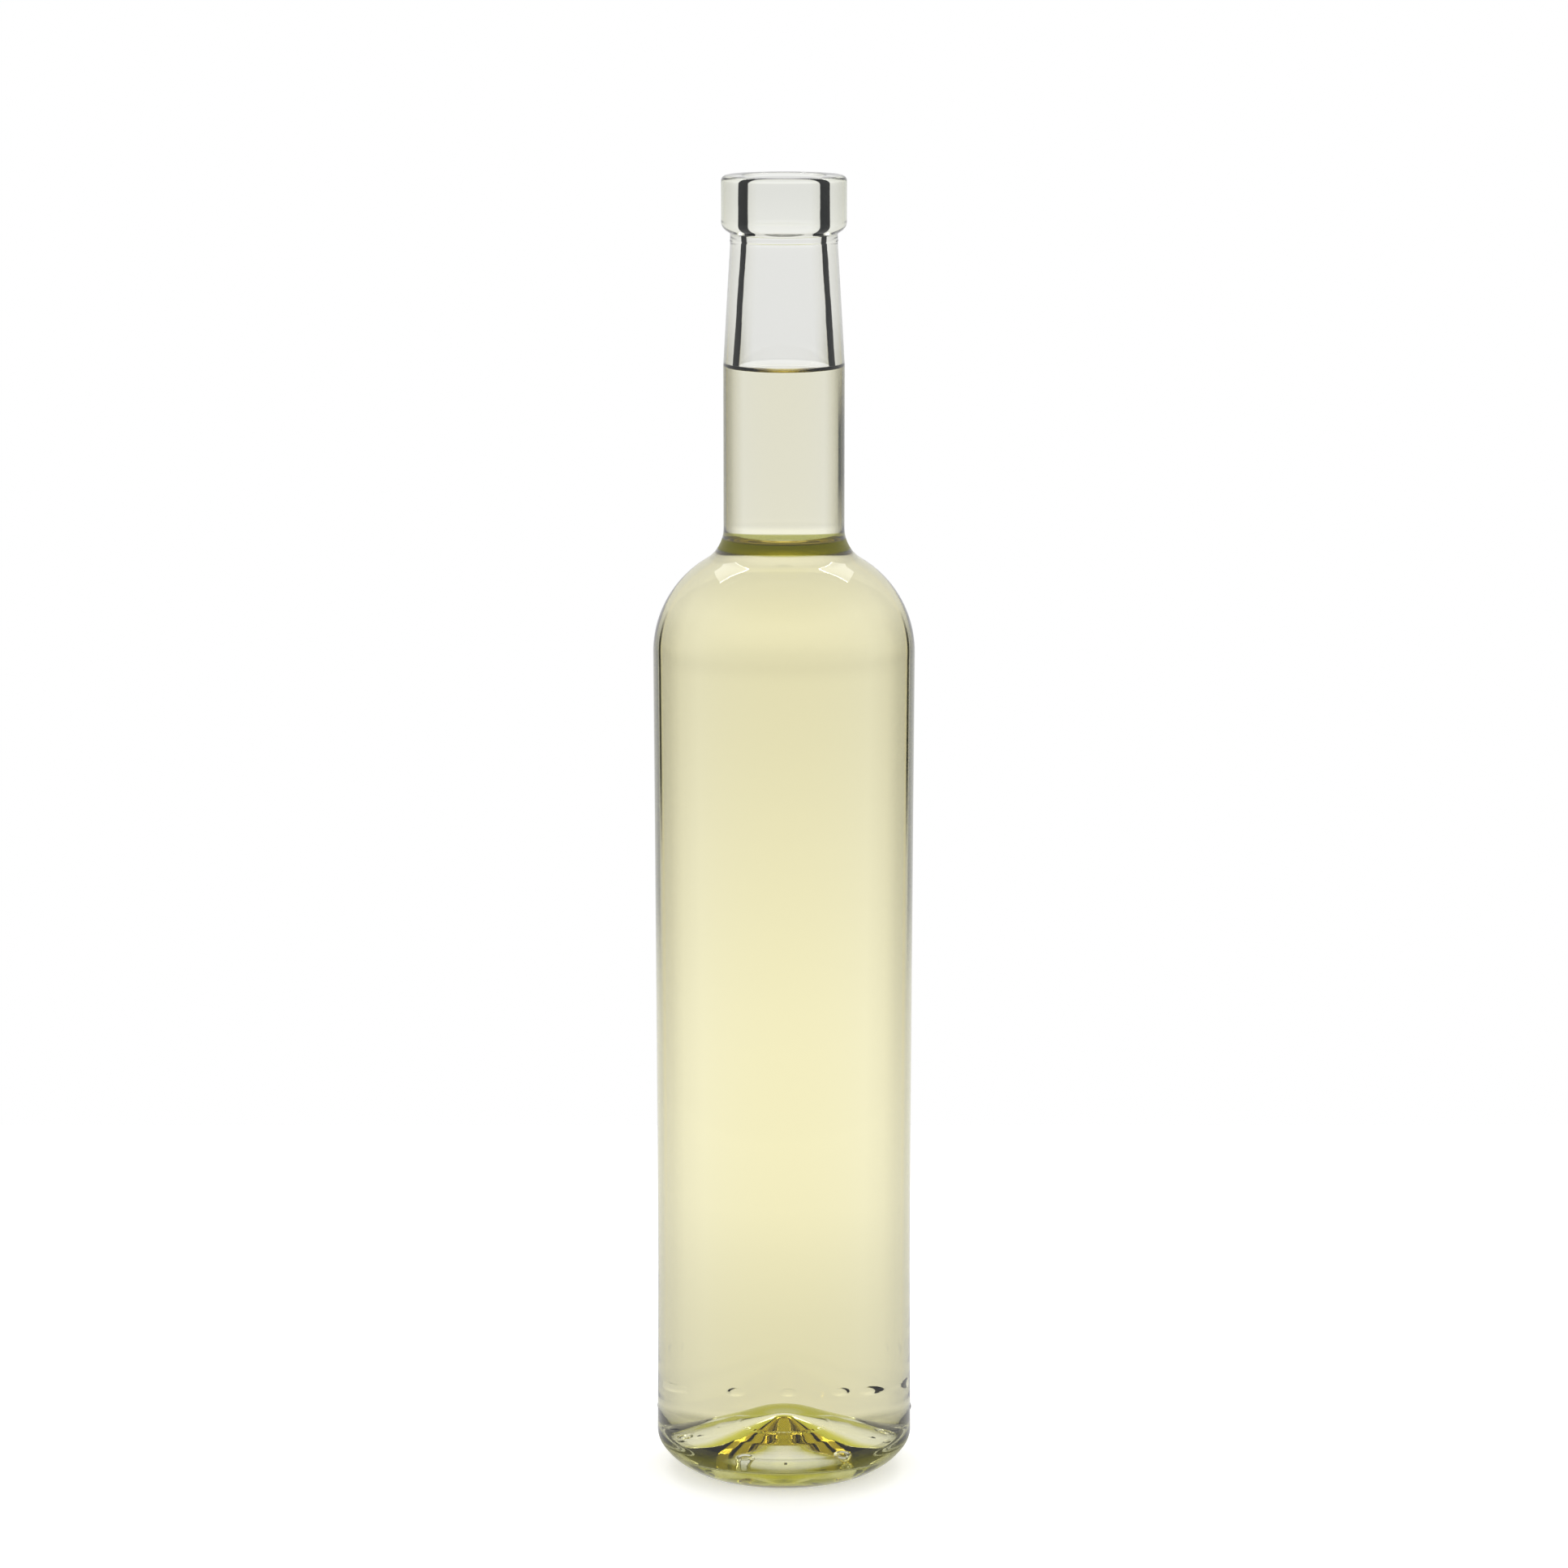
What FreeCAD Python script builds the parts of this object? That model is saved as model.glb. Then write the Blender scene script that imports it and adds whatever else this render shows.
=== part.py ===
"""A slim half-litre bordeaux wine bottle of clear glass, filled with white wine.

Two pieces: "bottle", one revolved glass solid with a band finish, a drawn
neck, high shoulders, a waisted body, a heel with its row of mould dots and a
hollowed base, and "wine", the liquid that fills the cavity up to its level.
Lengths are millimetres, angles degrees.  The origin is the centre of the ring
that the bottle stands on, +Z is up and -Y is the front.
"""
import FreeCAD, Part
import Sketcher
import math
import os

os.makedirs("parts", exist_ok=True)
doc = FreeCAD.newDocument("wine_bottle")

# ---------------------------------------------------------------- sizes
SIZES = [
    ("total_height", 312.8, "foot to the lip"),
    ("body_radius", 31.1, "widest, right under the shoulder"),
    ("middle_inset", 0.38, "how far the body's middle lies inside the widest radius"),
    ("middle_level", 117.0, "height of that middle"),
    ("waist_inset", 0.6, "how far the waist lies inside the widest radius"),
    ("waist_level", 50.0, "height of the narrowest part of the body"),
    ("heel_inset", 0.33, "how far the top of the heel lies inside the widest radius"),
    ("heel_level", 9.2, "height where the heel starts to turn in"),
    ("heel_round", 5.6, "upper, tighter heel radius"),
    ("heel_sweep", 16.0, "lower, wider heel radius"),
    ("foot_inset", 9.5, "how far the edge of the ring it stands on lies inside the widest radius"),
    ("foot_width", 0.7, "width of that ring"),
    ("shoulder_drop", 112.8, "lip down to where the shoulder starts"),
    ("shoulder_radius", 25.7, "profile radius of the shoulder"),
    ("neck_fillet", 8.9, "profile radius between shoulder and neck"),
    ("neck_radius", 14.33, "outside of the straight neck"),
    ("neck_taper_drop", 44.6, "lip down to where the straight neck starts"),
    ("collar_radius", 12.66, "outside of the neck right under the band"),
    ("collar_height", 2.6, "straight stretch under the band"),
    ("band_radius", 14.77, "outside of the band finish"),
    ("band_height", 13.6, "height of the band finish"),
    ("band_edge", 1.3, "radius of the band's upper edge"),
    ("band_under", 2.6, "radius of the band's lower edge"),
    ("band_bevel", 1.45, "height of the bevel under the band"),
    ("band_root", 0.5, "radius in the corner between band and neck"),
    ("bore_radius", 9.35, "inside of the mouth"),
    ("bore_depth", 15.5, "straight part of the bore"),
    ("bore_blend", 40.0, "radius where the bore starts to widen"),
    ("lip_round", 0.9, "radius of the bore's edge"),
    ("neck_wall", 3.1, "glass thickness of the neck"),
    ("body_wall", 3.4, "glass thickness of the body"),
    ("punt_wall_width", 0.7, "how far the hollow's short side reaches inwards"),
    ("punt_level", 3.4, "height of the hollow's roof at its side"),
    ("punt_corner", 1.0, "radius where the hollow's side meets its roof"),
    ("pip_radius", 11.5, "foot radius of the cone in the middle"),
    ("pip_level", 8.75, "height of the cone's foot"),
    ("pip_top", 14.36, "height of the cone's point before it is rounded"),
    ("pip_round", 5.0, "radius of the cone's tip"),
    ("pip_foot_round", 8.0, "radius where the cone runs into the roof"),
    ("floor_rise", 4.0, "height of glass over the hollow"),
    ("floor_ball", 12.0, "radius of the floor's rounded middle"),
    ("floor_out", 2.5, "how far outside the cone's foot the floor changes its slope"),
    ("floor_edge_out", 1.3, "how far outside the roof the floor has its edge"),
    ("floor_edge_round", 3.0, "radius of that edge"),
    ("trough_level", 5.6, "lowest level of the wine, over the foot"),
    ("trough_out", 2.2, "how far outside the foot ring that lowest level lies"),
    ("trough_round", 1.8, "radius in that lowest corner"),
    ("inner_heel_round", 6.0, "radius inside the heel"),
    ("fill_drop", 45.1, "lip down to the wine"),
    ("dot_level", 13.4, "height of the row of dots over the heel"),
    ("dot_radius", 1.15, "half width of a dot"),
    ("dot_height", 0.4, "how far a dot stands proud"),
    ("dot_root", 0.5, "how far a dot is rooted in the wall"),
    ("dot_count", 15, "dots along the back of the heel"),
    ("dot_start", 5.0, "angle of the first dot"),
    ("dot_arc", 168.0, "angle from the first dot to the last"),
    ("dot_extra", 71.0, "angle of the additional dot"),
    ("mark_inset", 3.1, "how far the ring marks lie inside the roof's edge"),
    ("mark_radius", 1.4, "middle radius of a ring mark in the hollow"),
    ("mark_width", 0.7, "width of the ring mark's line"),
    ("mark_height", 0.35, "how far a ring mark stands proud"),
    ("mark_root", 0.4, "how far a ring mark is rooted in the glass"),
    ("mark_count", 5, "ring marks around the hollow"),
    ("mark_start", 26.0, "angle of the first ring mark"),
]

sheet = doc.addObject("Spreadsheet::Sheet", "sizes")
for row, (name, value, note) in enumerate(SIZES, start=1):
    sheet.set("A%d" % row, name)
    sheet.set("B%d" % row, str(value))
    sheet.setAlias("B%d" % row, name)
    sheet.set("C%d" % row, note)
doc.recompute()


class Size:
    """A number together with the sheet expression that it comes from."""

    def __init__(self, value, text):
        self.value, self.text = float(value), text

    def _with(self, other, sign, value):
        return Size(value, "(%s %s %s)" % (self.text, sign, other.text))

    def __add__(self, other):
        other = size(other)
        return self._with(other, "+", self.value + other.value)

    def __sub__(self, other):
        other = size(other)
        return self._with(other, "-", self.value - other.value)

    def __mul__(self, other):
        other = size(other)
        return self._with(other, "*", self.value * other.value)

    def __truediv__(self, other):
        other = size(other)
        return self._with(other, "/", self.value / other.value)


def size(x):
    return x if isinstance(x, Size) else Size(x, repr(float(x)))


def root(x):
    return Size(math.sqrt(x.value), "sqrt(%s)" % x.text)


class Named:
    """Named.body_radius is that size, with its sheet cell."""


for name, value, note in SIZES:
    setattr(Named, name, Size(sheet.get(name), "sizes." + name))
S = Named
ZERO = size(0)


# ---------------------------------------------------------------- sketching
def plane_of(body, role):
    return next(f for f in body.Origin.OriginFeatures if f.Role == role)


class Outline:
    """A closed sketch outline: corners at bound places, joined by lines or
    arcs of a bound radius; a corner between two lines may be rounded."""

    def __init__(self, sketch):
        self.sketch = sketch
        self.nodes = []          # (x, z, rounding or None)
        self.legs = []           # leg after each node: None or (radius, side)

    def to(self, x, z, rounding=None, arc=None, side=1):
        """Adds a corner; arc/side say how the NEXT leg runs: side +1 has the
        arc's centre on the left of the way of travel, -1 on the right."""
        self.nodes.append((size(x), size(z), rounding))
        self.legs.append(None if arc is None else (arc, side))
        return self

    def draw(self):
        sk, n = self.sketch, len(self.nodes)
        P = [(a.value, b.value) for a, b, _ in self.nodes]
        begin, end = [None] * n, [None] * n      # leg i runs begin[i] -> end[i]
        rounds = [None] * n
        for i in range(n):
            x, z = P[i]
            if self.nodes[i][2] is None:
                begin[i] = end[i - 1] = (x, z)
                continue
            r = self.nodes[i][2].value
            ax, az = P[i - 1][0] - x, P[i - 1][1] - z
            bx, bz = P[(i + 1) % n][0] - x, P[(i + 1) % n][1] - z
            la, lb = math.hypot(ax, az), math.hypot(bx, bz)
            ax, az, bx, bz = ax / la, az / la, bx / lb, bz / lb
            half = math.acos(max(-1.0, min(1.0, ax * bx + az * bz))) / 2
            t = r / math.tan(half)
            end[i - 1] = (x + ax * t, z + az * t)
            begin[i] = (x + bx * t, z + bz * t)
            mx, mz = ax + bx, az + bz
            lm = math.hypot(mx, mz)
            d = r / math.sin(half)
            turn = ax * bz - az * bx              # > 0: outline turns right
            rounds[i] = ((x + mx / lm * d, z + mz / lm * d), r, turn)

        def vec(p):
            return FreeCAD.Vector(p[0], p[1], 0)

        def add_arc(c, r, p, q, ccw):
            if not ccw:
                p, q = q, p
            a = math.atan2(p[1] - c[1], p[0] - c[0])
            b = math.atan2(q[1] - c[1], q[0] - c[0])
            if b < a:
                b += 2 * math.pi
            g = sk.addGeometry(Part.ArcOfCircle(
                Part.Circle(vec(c), FreeCAD.Vector(0, 0, 1), r), a, b), False)
            return (g, 1, 2) if ccw else (g, 2, 1)

        legs, corners = [], [None] * n
        for i in range(n):
            p, q = begin[i], end[i]
            if self.legs[i] is None:
                g = sk.addGeometry(Part.LineSegment(vec(p), vec(q)), False)
                legs.append((g, 1, 2))
                continue
            r, side = self.legs[i][0].value, self.legs[i][1]
            dx, dz = q[0] - p[0], q[1] - p[1]
            L = math.hypot(dx, dz)
            k = math.sqrt(max(r * r - L * L / 4, 0.0)) * side
            c = ((p[0] + q[0]) / 2 - dz / L * k, (p[1] + q[1]) / 2 + dx / L * k)
            legs.append(add_arc(c, r, p, q, side > 0))
        for i in range(n):
            if rounds[i]:
                c, r, turn = rounds[i]
                corners[i] = add_arc(c, r, end[i - 1], begin[i], turn < 0)

        def bind(kind, args, what):
            k = sk.addConstraint(Sketcher.Constraint(kind, *args, what.value))
            sk.setExpression("Constraints[%d]" % k, what.text)

        def place(g, pos, x, z):
            if x.value == 0:
                sk.addConstraint(Sketcher.Constraint("PointOnObject", g, pos, -2))
            else:
                bind("DistanceX", (g, pos), x)
            if z.value == 0:
                sk.addConstraint(Sketcher.Constraint("PointOnObject", g, pos, -1))
            else:
                bind("DistanceY", (g, pos), z)

        for i in range(n):
            before, after = legs[i - 1], legs[i]
            x, z, r = self.nodes[i]
            if r is None:
                sk.addConstraint(Sketcher.Constraint(
                    "Coincident", before[0], before[2], after[0], after[1]))
                place(after[0], after[1], x, z)
            else:
                arc = corners[i]
                g = sk.addGeometry(Part.Point(vec(P[i])), True)
                place(g, 1, x, z)
                for leg in (before, after):
                    sk.addConstraint(Sketcher.Constraint(
                        "PointOnObject", g, 1, leg[0]))
                sk.addConstraint(Sketcher.Constraint(
                    "Tangent", before[0], before[2], arc[0], arc[1]))
                sk.addConstraint(Sketcher.Constraint(
                    "Tangent", arc[0], arc[2], after[0], after[1]))
                bind("Radius", (arc[0],), r)
            if self.legs[i] is not None:
                bind("Radius", (after[0],), self.legs[i][0])


def new_sketch(body, name, turn=None):
    sk = body.newObject("Sketcher::SketchObject", name)
    sk.AttachmentSupport = [(plane_of(body, "XZ_Plane"), "")]
    sk.MapMode = "FlatFace"
    if turn is not None:         # turned about the bottle's own axis
        sk.AttachmentOffset = FreeCAD.Placement(
            FreeCAD.Vector(0, 0, 0), FreeCAD.Rotation(FreeCAD.Vector(0, 1, 0), turn.value))
        sk.setExpression("AttachmentOffset.Rotation.Angle", turn.text)
    return sk


def new_body(name):
    body = doc.addObject("PartDesign::Body", name)
    body.Label = name
    body.Placement = FreeCAD.Placement()
    return body


def revolve(body, kind, name, sketch, axis="V_Axis"):
    feature = body.newObject("PartDesign::" + kind, name)
    feature.Profile = sketch
    feature.ReferenceAxis = (sketch, [axis])
    feature.Angle = 360.0
    sketch.Visibility = False
    doc.recompute()
    return feature


# ---------------------------------------------------------------- shared lines
foot_radius = S.body_radius - S.foot_inset
foot_in = foot_radius - S.foot_width
roof_x = foot_in - S.punt_wall_width
body_top = S.total_height - S.shoulder_drop
waist = S.body_radius - S.waist_inset
heel = S.body_radius - S.heel_inset
middle = S.body_radius - S.middle_inset
band_foot = S.total_height - S.band_height
collar_foot = band_foot - S.collar_height
taper_foot = S.total_height - S.neck_taper_drop


def shoulder(body_r, arc_r, fillet_r, neck_r):
    """Where a convex shoulder arc and a concave neck arc touch each other,
    and the height where the neck arc ends."""
    across = (neck_r + fillet_r) - (body_r - arc_r)
    both = arc_r + fillet_r
    up = root(both * both - across * across)
    share = arc_r / both
    return (body_r - arc_r) + across * share, body_top + up * share, body_top + up


# the heel: a tight arc that leaves the wall, then a wide one down to the foot
c1x, c1z = heel - S.heel_round, S.heel_level
gap = S.heel_sweep - S.heel_round
ddx, ddz = c1x - foot_radius, c1z
dist = root(ddx * ddx + ddz * ddz)
along = (S.heel_sweep * S.heel_sweep - gap * gap + dist * dist) / (dist * 2)
off = root(S.heel_sweep * S.heel_sweep - along * along)
c2x = foot_radius + (ddx * along - ddz * off) / dist
c2z = (ddz * along + ddx * off) / dist
heel_x = c2x + (c1x - c2x) * (S.heel_sweep / gap)
heel_z = c2z + (c1z - c2z) * (S.heel_sweep / gap)

# the wide cone in the middle of the base, its tip a ball; the floor over it
# is a parallel cone with a flatter tip
steep = (S.pip_top - S.pip_level) / S.pip_radius
slant = root(steep * steep + 1.0)


def ball_tip(point, radius):
    """Where a ball that rounds off the cone's point touches the cone, and
    its highest level."""
    centre = point - radius * slant
    return radius * steep / slant, centre + radius / slant, centre + radius


# ---------------------------------------------------------------- bottle
bottle = new_body("bottle")

outer = new_sketch(bottle, "outer_line")
mid_x, mid_z, neck_foot = shoulder(S.body_radius, S.shoulder_radius, S.neck_fillet, S.neck_radius)
line = Outline(outer)
line.to(ZERO, ZERO)
line.to(foot_radius, ZERO, arc=S.heel_sweep)
line.to(heel_x, heel_z, arc=S.heel_round)
line.to(heel, S.heel_level)
line.to(waist, S.waist_level)
line.to(middle, S.middle_level)
line.to(S.body_radius, body_top, arc=S.shoulder_radius)
line.to(mid_x, mid_z, arc=S.neck_fillet, side=-1)
line.to(S.neck_radius, neck_foot)
line.to(S.neck_radius, taper_foot)
line.to(S.collar_radius, collar_foot)
line.to(S.collar_radius, band_foot, rounding=S.band_root)
line.to(S.band_radius, band_foot + S.band_bevel, rounding=S.band_under)
line.to(S.band_radius, S.total_height, rounding=S.band_edge)
line.to(ZERO, S.total_height)
line.draw()
solid = revolve(bottle, "Revolution", "blank", outer)
blank_volume = bottle.Shape.Volume

# ---- the cavity, and the wine that repeats its lower part
bore_foot = S.total_height - S.bore_depth
neck_in = S.neck_radius - S.neck_wall
body_in = S.body_radius - S.body_wall
in_x, in_z, in_foot = shoulder(body_in, S.shoulder_radius - S.body_wall,
                               S.neck_fillet + S.neck_wall, neck_in)
fill_level = S.total_height - S.fill_drop


def cavity(sketch, closed_at=None):
    """The inner line from the floor's middle outwards and up."""
    line = Outline(sketch)
    edge_x, edge_z, crown = ball_tip(S.pip_top + S.floor_rise, S.floor_ball)
    line.to(ZERO, crown, arc=S.floor_ball, side=-1)
    line.to(edge_x, edge_z)
    line.to(S.pip_radius + S.floor_out,
            S.pip_level + S.floor_rise - steep * S.floor_out, rounding=S.pip_foot_round)
    line.to(roof_x + S.floor_edge_out, S.punt_level + S.floor_rise,
            rounding=S.floor_edge_round)
    line.to(foot_radius + S.trough_out, S.trough_level, rounding=S.trough_round)
    line.to(heel - S.body_wall, S.heel_level, rounding=S.inner_heel_round)
    line.to(waist - S.body_wall, S.waist_level)
    line.to(middle - S.body_wall, S.middle_level)
    line.to(body_in, body_top, arc=S.shoulder_radius - S.body_wall)
    line.to(in_x, in_z, arc=S.neck_fillet + S.neck_wall, side=-1)
    line.to(neck_in, in_foot)
    if closed_at is None:
        line.to(neck_in, taper_foot)
        line.to(S.bore_radius, bore_foot, rounding=S.bore_blend)
        line.to(S.bore_radius, S.total_height - S.lip_round, arc=S.lip_round, side=-1)
        line.to(S.bore_radius + S.lip_round, S.total_height)
        line.to(ZERO, S.total_height)
    else:
        line.to(neck_in, closed_at)
        line.to(ZERO, closed_at)
    line.draw()


hollow = new_sketch(bottle, "inner_line")
cavity(hollow)
groove = revolve(bottle, "Groove", "cavity", hollow)
assert bottle.Shape.Volume < 0.6 * blank_volume, "the cavity cut nothing"

# ---- the hollow under the base: a short side, a sloping roof, a wide cone
under = new_sketch(bottle, "hollow_line")
line = Outline(under)
line.to(ZERO, ZERO)
line.to(foot_in, ZERO)
line.to(roof_x, S.punt_level, rounding=S.punt_corner)
line.to(S.pip_radius, S.pip_level, rounding=S.pip_foot_round)
edge_x, edge_z, crown = ball_tip(S.pip_top, S.pip_round)
line.to(edge_x, edge_z, arc=S.pip_round)
line.to(ZERO, crown)
line.draw()
before = bottle.Shape.Volume
punt = revolve(bottle, "Groove", "punt", under)
assert bottle.Shape.Volume < before - 1000, "the hollow cut nothing"


def axle_of(sk, p, q):
    """A construction line that a mark is revolved about."""
    axle = sk.addGeometry(Part.LineSegment(
        FreeCAD.Vector(p[0].value, p[1].value, 0),
        FreeCAD.Vector(q[0].value, q[1].value, 0)), True)
    for pos, (x, z) in ((1, p), (2, q)):
        for kind, what in (("DistanceX", x), ("DistanceY", z)):
            k = sk.addConstraint(Sketcher.Constraint(kind, axle, pos, what.value))
            sk.setExpression("Constraints[%d]" % k, what.text)


def pattern(name, feature, count, arc):
    row = bottle.newObject("PartDesign::PolarPattern", name)
    row.Originals = [feature]
    row.Axis = (outer, ["V_Axis"])
    row.Angle = arc.value
    row.setExpression("Angle", arc.text)
    row.Occurrences = int(count.value)
    row.setExpression("Occurrences", count.text)
    before = bottle.Shape.Volume
    bottle.Tip = row
    doc.recompute()
    assert bottle.Shape.Volume > before, name + " added nothing"
    return row


# ---- moulded dots over the heel and ring marks inside the hollow
def dome(name, turn):
    """A flat dome on the outside of the heel, revolved about its own axis."""
    sk = new_sketch(bottle, name + "_line", turn)
    root_x, tip_x = heel - S.dot_root, heel + S.dot_height
    ball = ((S.dot_radius * S.dot_radius + S.dot_height * S.dot_height)
            / (S.dot_height * 2))
    top = S.dot_level + S.dot_radius
    line = Outline(sk)
    line.to(root_x, S.dot_level)
    line.to(tip_x, S.dot_level, arc=ball)
    line.to(heel, top)
    line.to(root_x, top)
    line.draw()
    axle_of(sk, (root_x, S.dot_level), (tip_x, S.dot_level))
    return revolve(bottle, "Revolution", name, sk, "Axis0")


dot = dome("dot", S.dot_start)
dot_row = pattern("dot_row", dot, S.dot_count, S.dot_arc)
dot_two = dome("dot_more", S.dot_extra)


def ring_mark(name, turn):
    """A raised ring on the hollow's roof, revolved about the roof's normal."""
    sk = new_sketch(bottle, name + "_line", turn)
    run, fall = roof_x - S.pip_radius, S.pip_level - S.punt_level
    length = root(run * run + fall * fall)
    ux, uz = run / length, ZERO - fall / length       # outwards along the roof
    nx, nz = uz, ZERO - ux                            # down, out of the glass
    px = roof_x - S.mark_inset
    pz = S.pip_level - fall * ((px - S.pip_radius) / run)

    def at(a, b):
        return px + ux * a + nx * b, pz + uz * a + nz * b

    near = S.mark_radius - S.mark_width / 2
    far = S.mark_radius + S.mark_width / 2
    line = Outline(sk)
    line.to(*at(near, ZERO - S.mark_root))
    line.to(*at(near, S.mark_height))
    line.to(*at(far, S.mark_height))
    line.to(*at(far, ZERO - S.mark_root))
    line.draw()
    axle_of(sk, at(ZERO, ZERO), at(ZERO, size(5)))
    return revolve(bottle, "Revolution", name, sk, "Axis0")


mark = ring_mark("mark", S.mark_start)
marks = pattern("mark_row", mark, S.mark_count, size(360))

# ---------------------------------------------------------------- wine
wine = new_body("wine")
fill = new_sketch(wine, "wine_line")
cavity(fill, fill_level)
liquid = revolve(wine, "Revolution", "liquid", fill)

# ---------------------------------------------------------------- checks, export
doc.recompute()
for thing in doc.Objects:
    bad = [state for state in thing.State if state in ("Invalid", "Error")]
    if bad:
        raise RuntimeError("%s failed: %s" % (thing.Name, bad))
for body in (bottle, wine):
    shape = body.Shape
    if shape.isNull() or not shape.isValid() or len(shape.Solids) != 1:
        raise RuntimeError("%s is not one valid solid" % body.Label)
    print("%-8s %10.1f mm3, %d faces" % (body.Label, shape.Volume, len(shape.Faces)))
    shape.exportStep(os.path.join("parts", body.Label + ".step"))
print("wine to the level shown: %.1f ml" % (wine.Shape.Volume / 1000))
print("bottle glass: %.0f g" % (bottle.Shape.Volume * 2.5e-3))
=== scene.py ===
"""A slim half-litre bordeaux bottle of clear glass, filled with white wine.

The bottle is spun from its own outline as a closed shell of glass with its
mould dots, seam and base marks; the wine is a second closed body that reaches
just into the glass, so no air shows between them.  The bottle's sizes are
named in millimetres and the studio's in metres; the meshes are in metres, in
the CAD frame: +Z up, -Y the front.
"""
import bpy
import math
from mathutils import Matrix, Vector


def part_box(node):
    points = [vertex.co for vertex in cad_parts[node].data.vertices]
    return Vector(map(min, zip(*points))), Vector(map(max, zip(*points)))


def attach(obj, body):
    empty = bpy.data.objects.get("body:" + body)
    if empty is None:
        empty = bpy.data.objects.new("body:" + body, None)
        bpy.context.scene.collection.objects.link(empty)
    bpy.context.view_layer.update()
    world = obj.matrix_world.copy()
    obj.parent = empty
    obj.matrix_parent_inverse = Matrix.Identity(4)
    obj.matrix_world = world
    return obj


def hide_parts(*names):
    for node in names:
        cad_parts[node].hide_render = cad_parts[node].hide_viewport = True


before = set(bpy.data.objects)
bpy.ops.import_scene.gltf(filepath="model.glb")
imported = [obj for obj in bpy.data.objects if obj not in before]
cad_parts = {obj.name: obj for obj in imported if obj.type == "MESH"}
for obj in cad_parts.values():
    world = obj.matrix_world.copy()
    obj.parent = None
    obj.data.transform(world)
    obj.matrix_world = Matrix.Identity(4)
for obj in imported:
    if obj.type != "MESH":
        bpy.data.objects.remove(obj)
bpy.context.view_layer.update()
scene = bpy.context.scene
MM = 0.001

# ---------------------------------------------------------------- sizes, mm
TOTAL_HEIGHT = round(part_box("bottle")[1][2] / MM, 2)
FILL_LEVEL = round(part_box("wine")[1][2] / MM, 2)

# the wall: straight at the heel, a slight waist, widest at the shoulder
HEEL_RADIUS, HEEL_LEVEL = 30.77, 9.2
WAIST_RADIUS, WAIST_LEVEL = 30.5, 50.0
MIDDLE_RADIUS, MIDDLE_LEVEL = 30.72, 117.0
BODY_RADIUS, BODY_TOP = 31.1, TOTAL_HEIGHT - 112.8
OVER_HEEL = [(HEEL_RADIUS, HEEL_LEVEL), (HEEL_RADIUS - 0.03, 11.8), (HEEL_RADIUS - 0.04, 15.1)]
UNDER_WAIST = (WAIST_RADIUS + 0.1, 30.0)
WALL = [(WAIST_RADIUS, WAIST_LEVEL), (WAIST_RADIUS + 0.08, 85.0),
        (MIDDLE_RADIUS, MIDDLE_LEVEL), (MIDDLE_RADIUS + 0.17, 160.0), (BODY_RADIUS, BODY_TOP)]
NECK_WALL, BODY_WALL = 3.1, 3.4

# foot and heel: a wide arc up from the ring it stands on, then a tighter one
HEEL_ROUND, HEEL_SWEEP = 5.6, 16.0
FOOT_RADIUS, FOOT_WIDTH = 21.6, 0.7
FOOT_IN = FOOT_RADIUS - FOOT_WIDTH

# shoulder, neck and finish
SHOULDER_ROUND, NECK_FILLET, NECK_RADIUS = 25.7, 8.9, 14.33
TAPER_FOOT = TOTAL_HEIGHT - 44.6
BAND_RADIUS, BAND_FOOT = 14.77, TOTAL_HEIGHT - 13.6
BAND_EDGE, BAND_UNDER, BAND_BEVEL, BAND_ROOT = 1.3, 2.6, 1.45, 0.5
COLLAR_RADIUS, COLLAR_FOOT = 12.66, BAND_FOOT - 2.6
BORE_RADIUS, BORE_FOOT, BORE_BLEND, LIP_ROUND = 9.35, TOTAL_HEIGHT - 15.5, 40.0, 0.9
SEAM_LEVEL, SEAM_HEIGHT, SEAM_SPREAD = BAND_FOOT - 1.7, 0.1, 0.3   # where the neck ring parted

# the hollow under the base, a wide cone with a round tip, and the floor over it
PUNT_WIDTH, PUNT_LEVEL, PUNT_CORNER = 0.7, 3.4, 1.0
PIP_RADIUS, PIP_LEVEL, PIP_TOP, PIP_ROUND, PIP_FOOT_ROUND = 11.5, 8.75, 14.36, 5.0, 8.0
FLOOR_RISE, FLOOR_BALL, FLOOR_OUT, FLOOR_EDGE_OUT, FLOOR_EDGE_ROUND = 4.0, 12.0, 2.5, 1.3, 3.0
TROUGH_RADIUS, TROUGH_LEVEL, TROUGH_ROUND, INNER_HEEL_ROUND = 23.8, 5.6, 1.8, 6.0
ROOF_EDGE = FOOT_IN - PUNT_WIDTH
CONE_RISE = (PIP_TOP - PIP_LEVEL) / PIP_RADIUS
CONE_SLANT = math.hypot(1, CONE_RISE)
CONE_LEAN = math.degrees(math.atan2(1, CONE_RISE))     # where ball and cone touch

# mould dots over the back of the heel
DOT_LEVEL, DOT_RADIUS, DOT_HEIGHT = 13.4, 1.15, 0.4
DOT_ANGLES = [5 + 12 * k for k in range(15)] + [71]
DOT_WALL = HEEL_RADIUS - 0.035         # the wall's radius at their height
DOT_FINE, DOT_SET = 1.7, 1.9           # dot radii within which faces are finer, and the wall round
DOT_BELT = 3.0                         # how far over and under their row the wall is touched

# ring marks and a beaded line of the mould inside the hollow
MARK_PLACE, MARK_RADIUS, MARK_WIDTH, MARK_HEIGHT = 17.1, 1.4, 0.7, 0.35
MARK_ANGLES = [26 + 72 * k for k in range(5)]
MARK_FINE = 1.6                        # mark radii within which faces are finer
MARK_SPREAD = 0.8                      # how far a ring's ridge reaches each way, in widths
BEAD_PLACE, BEAD_WIDTH, BEAD_HEIGHT, BEAD_COUNT, BEAD_SWING = 7.4, 0.3, 0.14, 48, 0.4

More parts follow.
